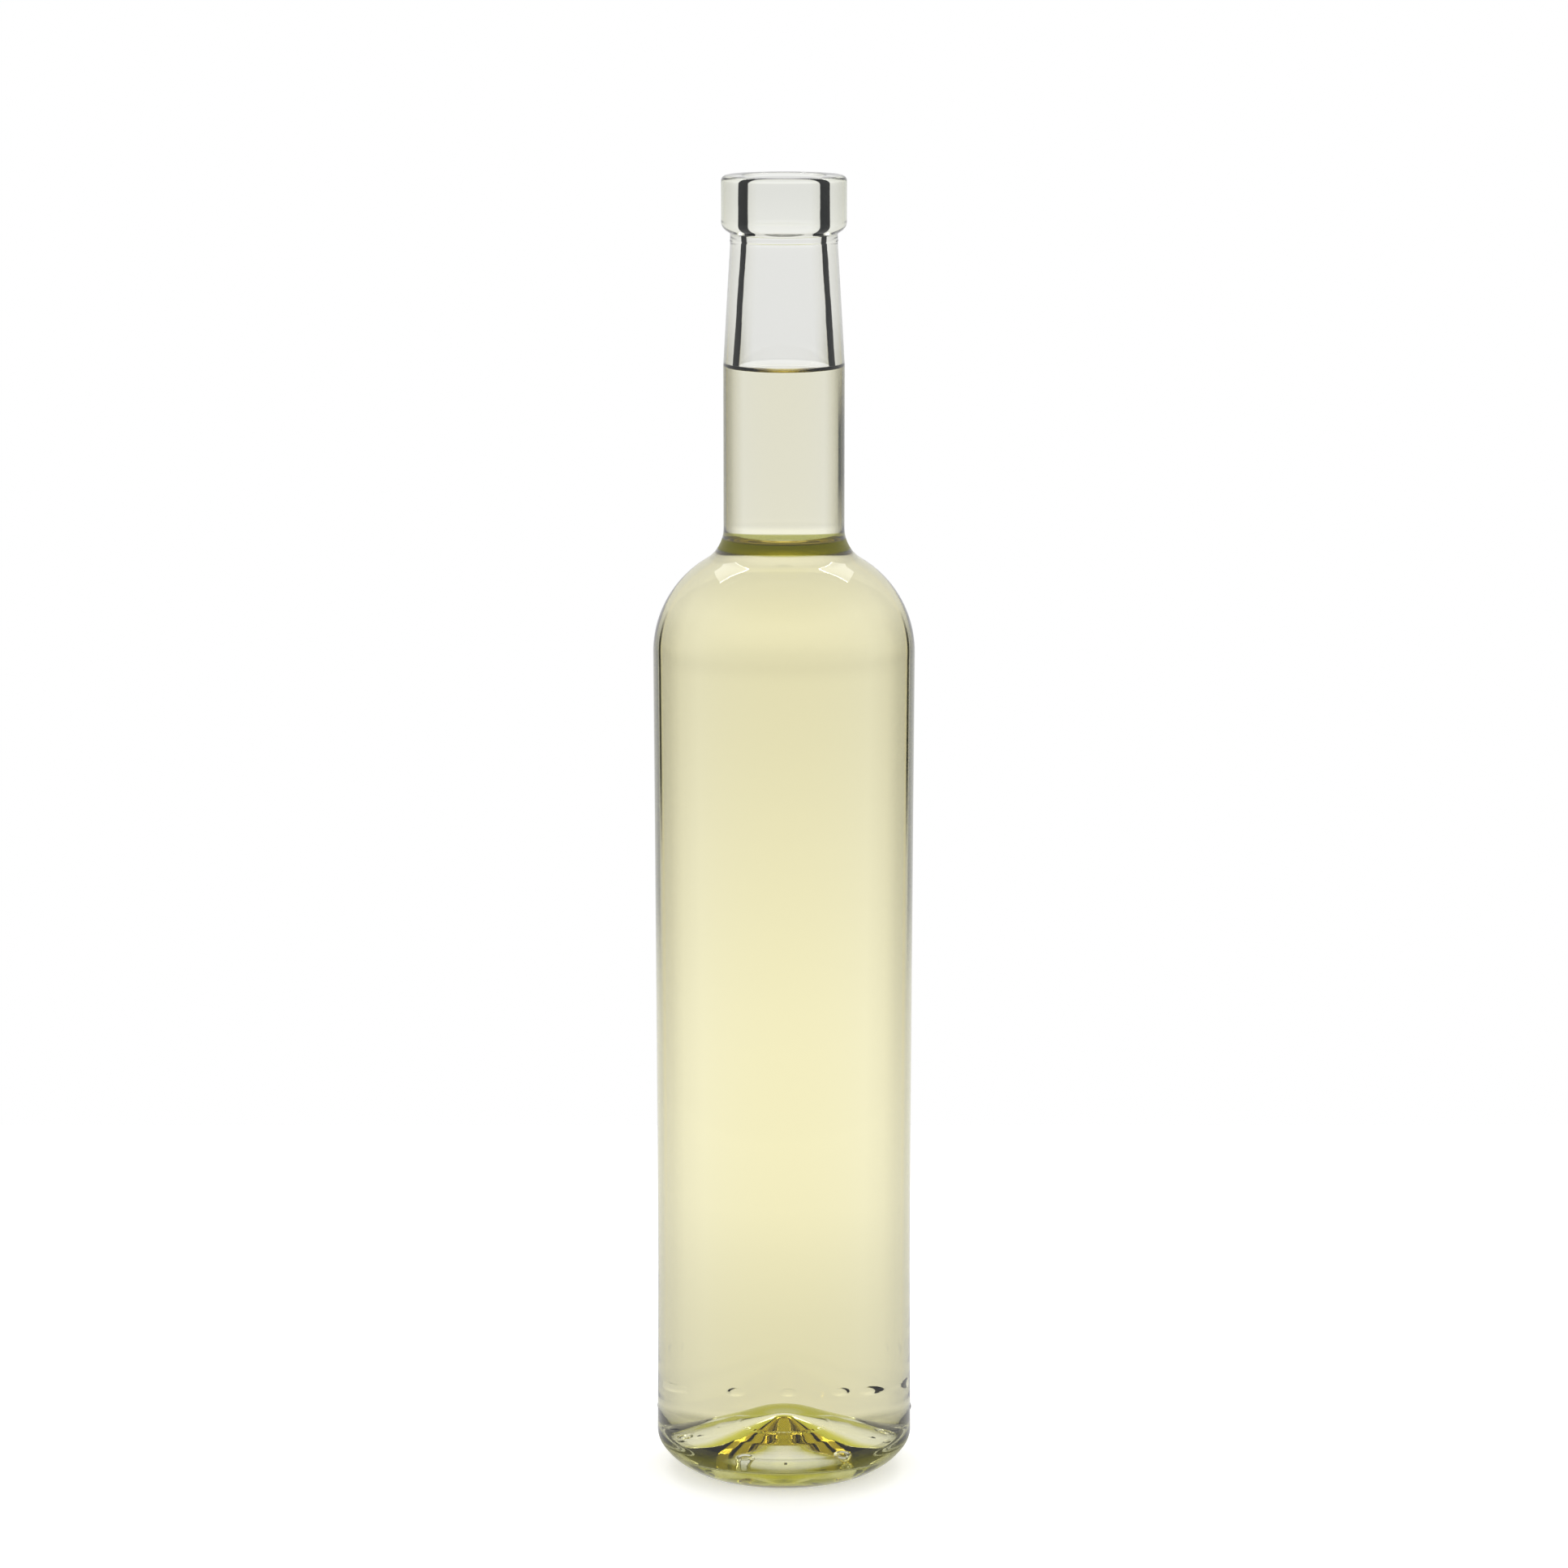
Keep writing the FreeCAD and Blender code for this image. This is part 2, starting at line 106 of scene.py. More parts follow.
# the wine's surface: how it climbs the glass, and dips inside its edge
CLIMB, CLIMB_REACH, DIP, CLIMB_STEPS = 0.8, 2.2, 0.4, 12
CONTACT_LEVEL = FILL_LEVEL + CLIMB
INTO_WALL = 0.12                       # how far the wine reaches into the glass

TURNS = 160                            # columns round the axis, 2.25 degrees each
WELD_GAP = 0.002                       # points nearer than this become one
SMOOTH_BELOW = 30                      # degrees between faces that shade as one


# ---------------------------------------------------------------- outlines
def arc(cx, cz, radius, start, stop, step=5.0):
    """Points on an arc, angles in degrees from +X towards +Z."""
    n = max(2, math.ceil(abs(stop - start) / step))
    return [(cx + radius * math.cos(math.radians(start + (stop - start) * i / n)),
             cz + radius * math.sin(math.radians(start + (stop - start) * i / n)))
            for i in range(n + 1)]


def corner(before, at, after, radius, step=8.0):
    """Points that round the corner between two straight stretches."""
    p, a, b = Vector(at), Vector(before), Vector(after)
    u, v = (a - p).normalized(), (b - p).normalized()
    half = u.angle(v) / 2
    centre = p + (u + v).normalized() * (radius / math.sin(half))
    first = p + u * (radius / math.tan(half)) - centre
    last = p + v * (radius / math.tan(half)) - centre
    turn = first.angle_signed(last)      # clockwise positive in mathutils
    n = max(2, math.ceil(math.degrees(abs(turn)) / step))
    base = math.atan2(first.y, first.x)
    return [(centre.x + radius * math.cos(base - turn * i / n),
             centre.y + radius * math.sin(base - turn * i / n)) for i in range(n + 1)]


def stretch(points, longest):
    """The outline with points added so that no step is longer than that."""
    out = [points[0]]
    for (x0, z0), (x1, z1) in zip(points, points[1:]):
        n = max(1, math.ceil(math.hypot(x1 - x0, z1 - z0) / longest))
        out += [(x0 + (x1 - x0) * i / n, z0 + (z1 - z0) * i / n) for i in range(1, n + 1)]
    return out


def grown(points, distance):
    """The outline moved sideways, away from the liquid, by that distance."""
    out = []
    for i, (x, z) in enumerate(points):
        x0, z0 = points[max(i - 1, 0)]
        x1, z1 = points[min(i + 1, len(points) - 1)]
        along = Vector((x1 - x0, z1 - z0)).normalized()
        out.append((x + along.y * distance if i else 0.0, z - along.x * distance))
    return out


def wall(thickness=0.0):
    """The wall from the waist up to the shoulder, that far inside the glass."""
    return [(radius - thickness, level) for radius, level in WALL]


def shoulder(body_r, arc_r, fillet_r, neck_r, step=2.5):
    """Shoulder arc and neck fillet, touching each other, bottom to top."""
    cx, fx = body_r - arc_r, neck_r + fillet_r
    up = math.sqrt((arc_r + fillet_r) ** 2 - (fx - cx) ** 2)
    lean = math.degrees(math.atan2(up, fx - cx))
    return (arc(cx, BODY_TOP, arc_r, 0, lean, step)
            + arc(fx, BODY_TOP + up, fillet_r, lean + 180, 180, step)[1:])


def two_circle_heel():
    """The heel: a wide arc up from the foot, then a tighter one into the wall."""
    c1 = Vector((HEEL_RADIUS - HEEL_ROUND, HEEL_LEVEL))
    foot = Vector((FOOT_RADIUS, 0.0))
    gap = HEEL_SWEEP - HEEL_ROUND
    d = (c1 - foot).length
    along = (HEEL_SWEEP ** 2 - gap ** 2 + d ** 2) / (2 * d)
    off = math.sqrt(HEEL_SWEEP ** 2 - along ** 2)
    u = (c1 - foot) / d
    c2 = foot + u * along + Vector((-u.y, u.x)) * off
    lean = math.degrees(math.atan2(c1.y - c2.y, c1.x - c2.x))
    start = math.degrees(math.atan2(-c2.y, FOOT_RADIUS - c2.x))
    return arc(c2.x, c2.y, HEEL_SWEEP, start, lean, 2.0) + arc(c1.x, c1.y, HEEL_ROUND, lean, 0)[1:]


def ball_tip(point, radius, step):
    """The ball that rounds off a cone with that point, from its top down."""
    return arc(0, point - radius * CONE_SLANT, radius, 90, CONE_LEAN, step)


def outer_outline():
    """Tip of the hollow under the base, out over the foot, up to the lip."""
    roof, pip_foot = (ROOF_EDGE, PUNT_LEVEL), (PIP_RADIUS, PIP_LEVEL)
    tip = ball_tip(PIP_TOP, PIP_ROUND, step=6)
    hollow = stretch(tip[-1:] + corner(tip[-1], pip_foot, roof, PIP_FOOT_ROUND, step=1)
                     + corner(pip_foot, roof, (FOOT_IN, 0), PUNT_CORNER), longest=0.35)[1:]
    body = [OVER_HEEL[-1], UNDER_WAIST] + wall()
    upper = shoulder(BODY_RADIUS, SHOULDER_ROUND, NECK_FILLET, NECK_RADIUS)
    neck = [upper[-1], (NECK_RADIUS, TAPER_FOOT), (COLLAR_RADIUS, COLLAR_FOOT)]
    seam = [(COLLAR_RADIUS, SEAM_LEVEL - SEAM_SPREAD),
            (COLLAR_RADIUS + SEAM_HEIGHT, SEAM_LEVEL),
            (COLLAR_RADIUS, SEAM_LEVEL + SEAM_SPREAD)]
    collar_top = (COLLAR_RADIUS, BAND_FOOT)
    band_low = (BAND_RADIUS, BAND_FOOT + BAND_BEVEL)
    lip_out = (BAND_RADIUS, TOTAL_HEIGHT)
    lip_in = (BORE_RADIUS + LIP_ROUND, TOTAL_HEIGHT)
    return (tip + hollow + [(FOOT_IN, 0)] + two_circle_heel()
            + stretch(OVER_HEEL, longest=0.9)[1:] + stretch(body, longest=2.0)[1:-1]
            + upper + stretch(neck, longest=2.0)[1:] + seam
            + corner(neck[-1], collar_top, band_low, BAND_ROOT, step=15)
            + corner(collar_top, band_low, lip_out, BAND_UNDER)
            + corner(band_low, lip_out, lip_in, BAND_EDGE) + [lip_in])


def bore_outline():
    """The dry inside, from where the wine touches the glass up to the lip."""
    foot, top = (NECK_RADIUS - NECK_WALL, TAPER_FOOT), (BORE_RADIUS, TOTAL_HEIGHT)
    rise = (CONTACT_LEVEL - TAPER_FOOT) / (BORE_FOOT - TAPER_FOOT)
    start = (foot[0] + (BORE_RADIUS - foot[0]) * rise, CONTACT_LEVEL)
    blend = corner(foot, (BORE_RADIUS, BORE_FOOT), top, BORE_BLEND, step=0.5)
    lip = arc(BORE_RADIUS + LIP_ROUND, TOTAL_HEIGHT - LIP_ROUND, LIP_ROUND, 180, 90, step=10)
    return stretch([start] + blend + [lip[0]], longest=2.0) + lip[1:]


def cavity_outline(grow=0.0):
    """Middle of the floor out and up to the wine's edge, grown into the wall."""
    tip = ball_tip(PIP_TOP + FLOOR_RISE, FLOOR_BALL, step=3)
    knee = (PIP_RADIUS + FLOOR_OUT, PIP_LEVEL + FLOOR_RISE - CONE_RISE * FLOOR_OUT)
    edge = (ROOF_EDGE + FLOOR_EDGE_OUT, PUNT_LEVEL + FLOOR_RISE)
    trough = (TROUGH_RADIUS, TROUGH_LEVEL)
    heel = (HEEL_RADIUS - BODY_WALL, HEEL_LEVEL)
    body = wall(BODY_WALL)
    floor = (tip + corner(tip[-1], knee, edge, PIP_FOOT_ROUND, step=1)
             + corner(knee, edge, trough, FLOOR_EDGE_ROUND, step=3)
             + corner(edge, trough, heel, TROUGH_ROUND, step=6)
             + corner(trough, heel, body[0], INNER_HEEL_ROUND, step=4))
    upper = shoulder(BODY_RADIUS - BODY_WALL, SHOULDER_ROUND - BODY_WALL,
                     NECK_FILLET + NECK_WALL, NECK_RADIUS - NECK_WALL)
    neck = [upper[-1], (NECK_RADIUS - NECK_WALL, TAPER_FOOT)]
    points = (stretch(floor, longest=1.0) + stretch([floor[-1]] + body, longest=2.5)[1:-1]
              + upper + stretch(neck, longest=2.0)[1:] + [bore_outline()[0]])
    return grown(points, grow) if grow else points


def surface_outline():
    """The wine's surface: it climbs the glass at its edge and lies flat inside."""
    rim_x, rim_z = cavity_outline(INTO_WALL)[-1]
    curve = [(rim_x - CLIMB_REACH * share, rim_z - (CLIMB + DIP) * (1 - (1 - share) ** 3))
             for share in (k / CLIMB_STEPS for k in range(CLIMB_STEPS + 1))]
    return curve + stretch([curve[-1], (0, curve[-1][1])], longest=1.0)[1:]


# ---------------------------------------------------------------- modelling
def add_skin(name, outline, **marks):
    """An outline drawn by extruding one point, then spun round the axis.

    Each face is marked as wetted by the wine or as part of the dry bore."""
    bpy.ops.object.select_all(action="DESELECT")
    x, z = outline[0]
    bpy.ops.mesh.primitive_plane_add(size=1 * MM, location=(0, 0, 0))
    skin = bpy.context.active_object
    skin.name = name
    bpy.ops.object.mode_set(mode="EDIT")
    bpy.ops.mesh.select_mode(type="VERT")
    bpy.ops.mesh.select_all(action="SELECT")
    bpy.ops.mesh.merge(type="CENTER")
    bpy.ops.transform.translate(value=(x * MM, 0, z * MM))
    for nx, nz in outline[1:]:
        bpy.ops.mesh.extrude_region_move(
            TRANSFORM_OT_translate={"value": ((nx - x) * MM, 0, (nz - z) * MM)})
        x, z = nx, nz
    bpy.ops.mesh.select_all(action="SELECT")
    bpy.ops.mesh.spin(steps=TURNS, angle=math.tau, center=(0, 0, 0), axis=(0, 0, 1))
    bpy.ops.mesh.select_all(action="SELECT")
    bpy.ops.mesh.remove_doubles(threshold=WELD_GAP * MM)
    bpy.ops.mesh.normals_make_consistent(inside=False)
    bpy.ops.object.mode_set(mode="OBJECT")
    for mark in ("wetted", "bore"):
        layer = skin.data.attributes.new(mark, "FLOAT", "FACE")
        layer.data.foreach_set("value", [marks.get(mark, 0.0)] * len(skin.data.polygons))
    return skin


def weld(skins, name, material):
    """Several skins as one closed shell with its faces outwards."""
    bpy.ops.object.select_all(action="DESELECT")
    for skin in skins:
        skin.select_set(True)
    bpy.context.view_layer.objects.active = skins[0]
    bpy.ops.object.join()
    shell = bpy.context.active_object
    shell.name = name
    shell.data.materials.append(material)
    bpy.ops.object.mode_set(mode="EDIT")
    bpy.ops.mesh.select_all(action="SELECT")
    bpy.ops.mesh.remove_doubles(threshold=WELD_GAP * MM)
    bpy.ops.mesh.normals_make_consistent(inside=False)
    bpy.ops.object.mode_set(mode="OBJECT")
    bpy.ops.object.shade_smooth_by_angle(angle=math.radians(SMOOTH_BELOW))
    return shell


def finer(piece, wanted, cuts):
    """Splits the faces whose middle (in mm) is wanted into smaller ones."""
    bpy.ops.object.select_all(action="DESELECT")
    piece.select_set(True)
    bpy.context.view_layer.objects.active = piece
    bpy.ops.object.mode_set(mode="EDIT")
    bpy.ops.mesh.select_mode(type="FACE")
    bpy.ops.mesh.select_all(action="DESELECT")
    bpy.ops.object.mode_set(mode="OBJECT")
    for face in piece.data.polygons:
        face.select = wanted(face.center / MM)
    bpy.ops.object.mode_set(mode="EDIT")
    bpy.ops.mesh.subdivide(number_cuts=cuts, ngon=False)
    bpy.ops.object.mode_set(mode="OBJECT")


def round_places(angles, radius, level):
    """Places on a ring round the axis, in mm."""
    return [Vector((radius * math.cos(math.radians(angle)),
                    radius * math.sin(math.radians(angle)), level)) for angle in angles]


def nearest(point, places):
    """How far the nearest of the places is."""
    return min((point - place).length for place in places)


def raise_dots(skin):
    """The row of low domes that the mould leaves over the heel."""
    places = round_places(DOT_ANGLES, HEEL_RADIUS, DOT_LEVEL)

    def on_wall(c):
        return c.xy.length > HEEL_RADIUS - 1 and abs(c.z - DOT_LEVEL) <= DOT_BELT

    finer(skin, lambda c: on_wall(c) and nearest(c, places) < DOT_RADIUS * DOT_FINE, cuts=3)
    ball = (DOT_RADIUS ** 2 + DOT_HEIGHT ** 2) / (2 * DOT_HEIGHT)
    for v in skin.data.vertices:
        c = v.co / MM
        if not on_wall(c):
            continue
        near = nearest(c, places)
        out = DOT_WALL
        if near < DOT_RADIUS:
            out += math.sqrt(ball ** 2 - near ** 2) - (ball - DOT_HEIGHT)
        if near < DOT_RADIUS * DOT_SET:
            v.co.xy *= out * MM / v.co.xy.length


def raise_marks(skin):
    """Ring marks and the beaded line of the mould inside the hollow."""
    slope = (PIP_LEVEL - PUNT_LEVEL) / (ROOF_EDGE - PIP_RADIUS)
    level = PIP_LEVEL - slope * (MARK_PLACE - PIP_RADIUS)
    places = round_places(MARK_ANGLES, MARK_PLACE, level)

    def in_hollow(c):
        return c.xy.length < ROOF_EDGE and c.z < PIP_TOP

    finer(skin, lambda c: in_hollow(c) and nearest(c, places) < MARK_RADIUS * MARK_FINE, cuts=2)
    for v in skin.data.vertices:
        c = v.co / MM
        if not in_hollow(c):
            continue
        off = abs(nearest(c, places) - MARK_RADIUS) / (MARK_SPREAD * MARK_WIDTH)
        if c.xy.length > PIP_RADIUS and off < 1:
            v.co.z -= MARK_HEIGHT * math.cos(off * math.pi / 2) ** 2 * MM
        off = abs(c.xy.length - BEAD_PLACE) / BEAD_WIDTH
        if off < 1:
            bead = 1 - BEAD_SWING + BEAD_SWING * math.cos(BEAD_COUNT * math.atan2(c.y, c.x))
            v.co.z -= BEAD_HEIGHT * bead * math.cos(off * math.pi / 2) ** 2 * MM


# ---------------------------------------------------------------- materials
# A fade is (where it is 0, where it is 1) and, if it doesn't go down to 0, what
# it goes down to.  A band is (from, to, softness).  Heights are mm over the
# table.  How edge on a wall is seen goes from 0, straight at it, to 1, along it.
GLASS_IOR, WINE_IOR = 1.52, 1.34
WAVE, WAVE_STRENGTH, WAVE_DEPTH = 9.0, 0.05, 0.2       # mm between waves, and their depth

# painted dark edge line, grey-green rim and shade, where the wall is seen edge on
EDGE_LINE, LINE_RISE, LINE_END = (0.668, 0.712, 0.008), (148, 176), (BODY_TOP + 12, BODY_TOP + 4)
EDGE_RIM, RIM_RISE, RIM_END = (0.725, 1.2, 0.02), (114, 146), (BODY_TOP + 12, BODY_TOP)
LINE_SHARE = 0.92
SHADE_RISE, SHADE_END = (-10, 190, 0.35), (BODY_TOP + 85, BODY_TOP + 65, 0.4)
SHADE_GAP, GAP_DEPTH = (BODY_TOP + 8, BODY_TOP + 26, 7), 0.6       # lighter over the shoulder
EDGE_SHADE = [(0.0, "#ffffff"), (0.25, "#ffffff"), (0.40, "#e8e6db"), (0.52, "#bfbcab"),
              (0.62, "#aaa68e"), (0.65, "#b4a86c"), (0.72, "#808072"),
              (0.85, "#a0a296"), (1.0, "#c8ccc4")]
# a painted dark line on the right of the neck
SLIVER, SLIVER_SIDE = (0.55, 0.68, 0.03), (0, 4 * MM)  # edge on; across, in metres
SLIVER_HEIGHTS = (BODY_TOP + 33, BODY_TOP + 62, 9)

# painted shade where the wall turns in; painted olive in the collar and foot
TURN_IN = (BODY_TOP + 0.5, BODY_TOP + 8.5, 4.5)
COLLAR, COLLAR_SHARE = (BODY_TOP + 24.8, BODY_TOP + 27.3, 0.3), 0.5
FOOT_FADE, DEEP_FADE = (9, 4), (5, 3)
# painted olive over the heel
HEEL_HEIGHTS, HEEL_EDGE, HEEL_SHARE = (3.5, 8.5, 1.2), (0.2, 1.2, 0.08), 0.34
HEEL_SIDE = (FOOT_IN * MM, FOOT_RADIUS * MM)           # metres from the axis

# painted dark strips in the empty bore
NECK_STRIP, BAND_STRIP = (0.222, 0.300, 0.006), (0.205, 0.355, 0.008)
STRIP_STEP = 0.4                       # mm over and under the band's foot
KNOT, KNOT_WIDTH = 4.0, 0.016          # mm between the spots where the painted strips wander, and how far they wander


def linear(hex_colour):
    """An sRGB hex colour as linear RGBA."""
    parts = [int(hex_colour[i:i + 2], 16) / 255 for i in (1, 3, 5)]
    return tuple(c / 12.92 if c <= 0.04045 else ((c + 0.055) / 1.055) ** 2.4
                 for c in parts) + (1.0,)


def add_node(tree, kind, settings=None, **links):
    """A node with its settings (a ramp's stops among them) and, by socket name
    or number, values or links."""
    node = tree.nodes.new(kind)
    for key, value in (settings or {}).items():
        if key == "stops":
            elements = node.color_ramp.elements
            while len(elements) < len(value):
                elements.new(0.5)
            for element, (place, colour) in zip(elements, value):
                element.position, element.color = place, linear(colour)
        else:
            setattr(node, key, value)
    for key, value in links.items():
        number = key[1:]
        socket = node.inputs[int(number) if number.isdigit() else key.replace("_", " ")]
        if isinstance(value, bpy.types.NodeSocket):
            tree.links.new(value, socket)
        else:
            socket.default_value = value
    return node


def new_material(name):
    """An empty material of that name, and its node tree."""
    material = bpy.data.materials.new(name)
    material.use_nodes = True
    material.node_tree.nodes.clear()
    return material, material.node_tree


def band(value, low, high, soft):
    """The two fades between which a band lies."""
    return (value, low - soft, low + soft), (value, high + soft, high - soft)


def where(tree, *parts):
    """The product of shares and fades; a fade starts with the value it follows."""
    product = None
    for part in parts:
        if isinstance(part, tuple):
            value, none_at, all_at, *rest = part
            part = add_node(tree, "ShaderNodeMapRange", {"interpolation_type": "SMOOTHSTEP"},
                            _0=value, _1=none_at, _2=all_at, _3=rest[0] if rest else 0.0,
                            _4=1.0).outputs[0]
        product = part if product is None else add_node(
            tree, "ShaderNodeMath", {"operation": "MULTIPLY"}, _0=product, _1=part).outputs[0]
    return product


def flint_glass():
    """Clear bottle glass: smooth from the fire, with a painted dark line, rim
    and shade where the eye looks along the wall, painted dim strips where the
    empty bore turns light back, and painted olive low in the neck, in the foot and over the heel."""
    material, tree = new_material("flint_glass_blown_and_fire_polished")
    place = add_node(tree, "ShaderNodeTexCoord").outputs["Object"]
    parts = add_node(tree, "ShaderNodeSeparateXYZ", _0=place).outputs
    level = add_node(tree, "ShaderNodeMath", {"operation": "DIVIDE"},
                     _0=parts["Z"], _1=MM).outputs[0]
    flat = add_node(tree, "ShaderNodeVectorMath", {"operation": "MULTIPLY"}, _0=place, _1=(1, 1, 0))
    reach = add_node(tree, "ShaderNodeVectorMath", {"operation": "LENGTH"},
                     _0=flat.outputs[0]).outputs["Value"]
    edge_on = add_node(tree, "ShaderNodeLayerWeight", _0=0.5).outputs["Facing"]
    inside = add_node(tree, "ShaderNodeNewGeometry").outputs["Backfacing"]
    outside = add_node(tree, "ShaderNodeMath", {"operation": "SUBTRACT"},
                       _0=1.0, _1=inside).outputs[0]

    # Looked at edge on, the wall gets a painted thin dark line, a painted
    # grey-green rim outside it and a painted soft shade inside it, in place of
    # the dark studio the glass would mirror; all three fade towards the foot,
    # and the painted shade is lighter over the shoulder.
    painted_dark_line = where(tree, outside, *band(edge_on, *EDGE_LINE), (level, *LINE_RISE), (level, *LINE_END))
    painted_grey_rim = where(tree, outside, *band(edge_on, *EDGE_RIM), (level, *RIM_RISE), (level, *RIM_END))
    lighter = add_node(tree, "ShaderNodeMath", {"operation": "MULTIPLY_ADD"},
                       _0=where(tree, *band(level, *SHADE_GAP)), _1=-GAP_DEPTH, _2=1.0)
    shade = where(tree, outside, (level, *SHADE_RISE), lighter.outputs[0], (level, *SHADE_END))
    shades = add_node(tree, "ShaderNodeValToRGB", {"stops": EDGE_SHADE}, _0=edge_on)
    # The neck has a painted thin dark line on its right side only, where its wall is uneven.
    painted_neck_line = where(tree, outside, (parts["X"], *SLIVER_SIDE), *band(level, *SLIVER_HEIGHTS),
                   *band(edge_on, *SLIVER))
    # It has a touch of painted shade where the wall starts to turn in to the
    # shoulder, and painted olive, in place of the light seen through glass and
    # wine there, in the collar under the neck and, deeper, in the thick foot.
    painted_turn_in_shade = where(tree, outside, *band(level, *TURN_IN))
    painted_collar_olive = where(tree, outside, *band(level, *COLLAR))
    foot = where(tree, outside, (level, *FOOT_FADE))
    painted_deep_olive = where(tree, (level, *DEEP_FADE))
    # The painted shade, rim, neck line and turn-in, and the painted olive, tint the glass in turn.
    colour = linear("#ffffff")
    for share, tint in ((shade, shades.outputs["Color"]), (painted_grey_rim, linear("#5c5f54")),
                        (painted_neck_line, linear("#16200f")), (painted_turn_in_shade, linear("#e0e0e0")),
                        (painted_collar_olive, linear("#e6ee70")), (foot, linear("#f0f09c")),
                        (painted_deep_olive, linear("#c4be2a"))):
        colour = add_node(tree, "ShaderNodeMix", {"data_type": "RGBA", "blend_type": "MULTIPLY"},
                          _0=share, _6=colour, _7=tint).outputs[2]

    # Blown glass is a little uneven, in soft waves of about a centimetre.
    waves = add_node(tree, "ShaderNodeTexNoise", Vector=place, Scale=1 / (WAVE * MM), Detail=1.0)
    uneven = add_node(tree, "ShaderNodeBump", Height=waves.outputs[0],
                      Strength=WAVE_STRENGTH, Distance=WAVE_DEPTH * MM)
    dry, wet = [add_node(tree, "ShaderNodeBsdfPrincipled", Base_Color=colour, Roughness=0.0,
                         IOR=ior, Transmission_Weight=1.0, Normal=uneven.outputs[0])
                for ior in (GLASS_IOR, GLASS_IOR / WINE_IOR)]
    wetted = add_node(tree, "ShaderNodeAttribute", {"attribute_name": "wetted"}).outputs["Fac"]
    surface = add_node(tree, "ShaderNodeMixShader", _0=wetted, _1=dry.outputs["BSDF"],
                       _2=wet.outputs["BSDF"])

    # The painted dark strips of the bore, in place of the light it turns back, are wider in the
    # band and wander a little.
    bore = add_node(tree, "ShaderNodeAttribute", {"attribute_name": "bore"}).outputs["Fac"]
    knots = add_node(tree, "ShaderNodeTexNoise", Vector=place, Scale=1 / (KNOT * MM), Detail=2.0)
    turned = add_node(tree, "ShaderNodeMath", {"operation": "MULTIPLY_ADD"},
                      _0=knots.outputs[0], _1=KNOT_WIDTH, _2=edge_on).outputs[0]
    under, over = BAND_FOOT - STRIP_STEP, BAND_FOOT + STRIP_STEP
    painted_bore_strips = add_node(tree, "ShaderNodeMath", {"operation": "ADD"},
                      _0=where(tree, (level, under, over), *band(turned, *BAND_STRIP)),
                      _1=where(tree, (level, over, under), *band(turned, *NECK_STRIP)))
    # Painted olive over the heel, low down, out from the foot ring, where it is seen at a slant.
    heel = where(tree, outside, (reach, *HEEL_SIDE), *band(level, *HEEL_HEIGHTS),
                 *band(edge_on, *HEEL_EDGE))
    # The painted dark strips, the painted dark line and the painted olive of collar and heel lie
    # over the glass as matt covers.
    for share, cover in ((where(tree, bore, inside, painted_bore_strips.outputs[0]), "#161b1c"),
                         (where(tree, painted_dark_line, LINE_SHARE), "#24240f"),
                         (where(tree, painted_collar_olive, COLLAR_SHARE), "#8f8c1e"),
                         (where(tree, heel, HEEL_SHARE), "#8f8c1e")):
        matt = add_node(tree, "ShaderNodeBsdfDiffuse", Color=linear(cover))
        surface = add_node(tree, "ShaderNodeMixShader", _0=share, _1=surface.outputs[0],
                           _2=matt.outputs[0])
    # A long way through the glass turns light yellow-green.
    body = add_node(tree, "ShaderNodeVolumeAbsorption", Color=linear("#d1da89"), Density=12.0)
    add_node(tree, "ShaderNodeOutputMaterial",
             Surface=surface.outputs[0], Volume=body.outputs["Volume"])
    return material


def wine_liquid():
    """Young white wine: pale straw, olive where the eye looks through much."""
    material, tree = new_material("young_white_wine")
    free, touching = [add_node(tree, "ShaderNodeBsdfPrincipled", Base_Color=linear("#ffffff"),
                               Roughness=0.0, IOR=ior, Transmission_Weight=1.0)
                      for ior in (WINE_IOR, 1.0)]
    wetted = add_node(tree, "ShaderNodeAttribute", {"attribute_name": "wetted"}).outputs["Fac"]
    surface = add_node(tree, "ShaderNodeMixShader", _0=wetted, _1=free.outputs["BSDF"],
                       _2=touching.outputs["BSDF"])
    body = add_node(tree, "ShaderNodeVolumeAbsorption", Color=linear("#fcee48"), Density=10.0)
    add_node(tree, "ShaderNodeOutputMaterial",
             Surface=surface.outputs[0], Volume=body.outputs["Volume"])
    return material


# ---------------------------------------------------------------- bottle
outer = add_skin("outer", outer_outline())
raise_dots(outer)
raise_marks(outer)
wet_side = add_skin("wet_side", cavity_outline(), wetted=1.0)
dry_side = add_skin("dry_side", bore_outline(), bore=1.0)
bottle = weld([outer, wet_side, dry_side], "bottle_glass", flint_glass())
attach(bottle, "root")
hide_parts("bottle")

# ---------------------------------------------------------------- wine
side = add_skin("side", cavity_outline(INTO_WALL), wetted=1.0)
top = add_skin("top", surface_outline())
wine = weld([side, top], "wine_fill", wine_liquid())
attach(wine, "root")
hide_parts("wine")

# ---------------------------------------------------------------- studio, metres
TABLE, TABLE_GLOW = 0.7, 0.47
# the glowing sheet's tone from the middle out, with painted shade close to the bottle
SHEET = [(0.0, "#e0e0e0"), (0.2, "#e0e0e0"), (0.41, "#e8e8e8"), (0.75, "#f8f8f8"), (1.0, "#fbfbfb")]
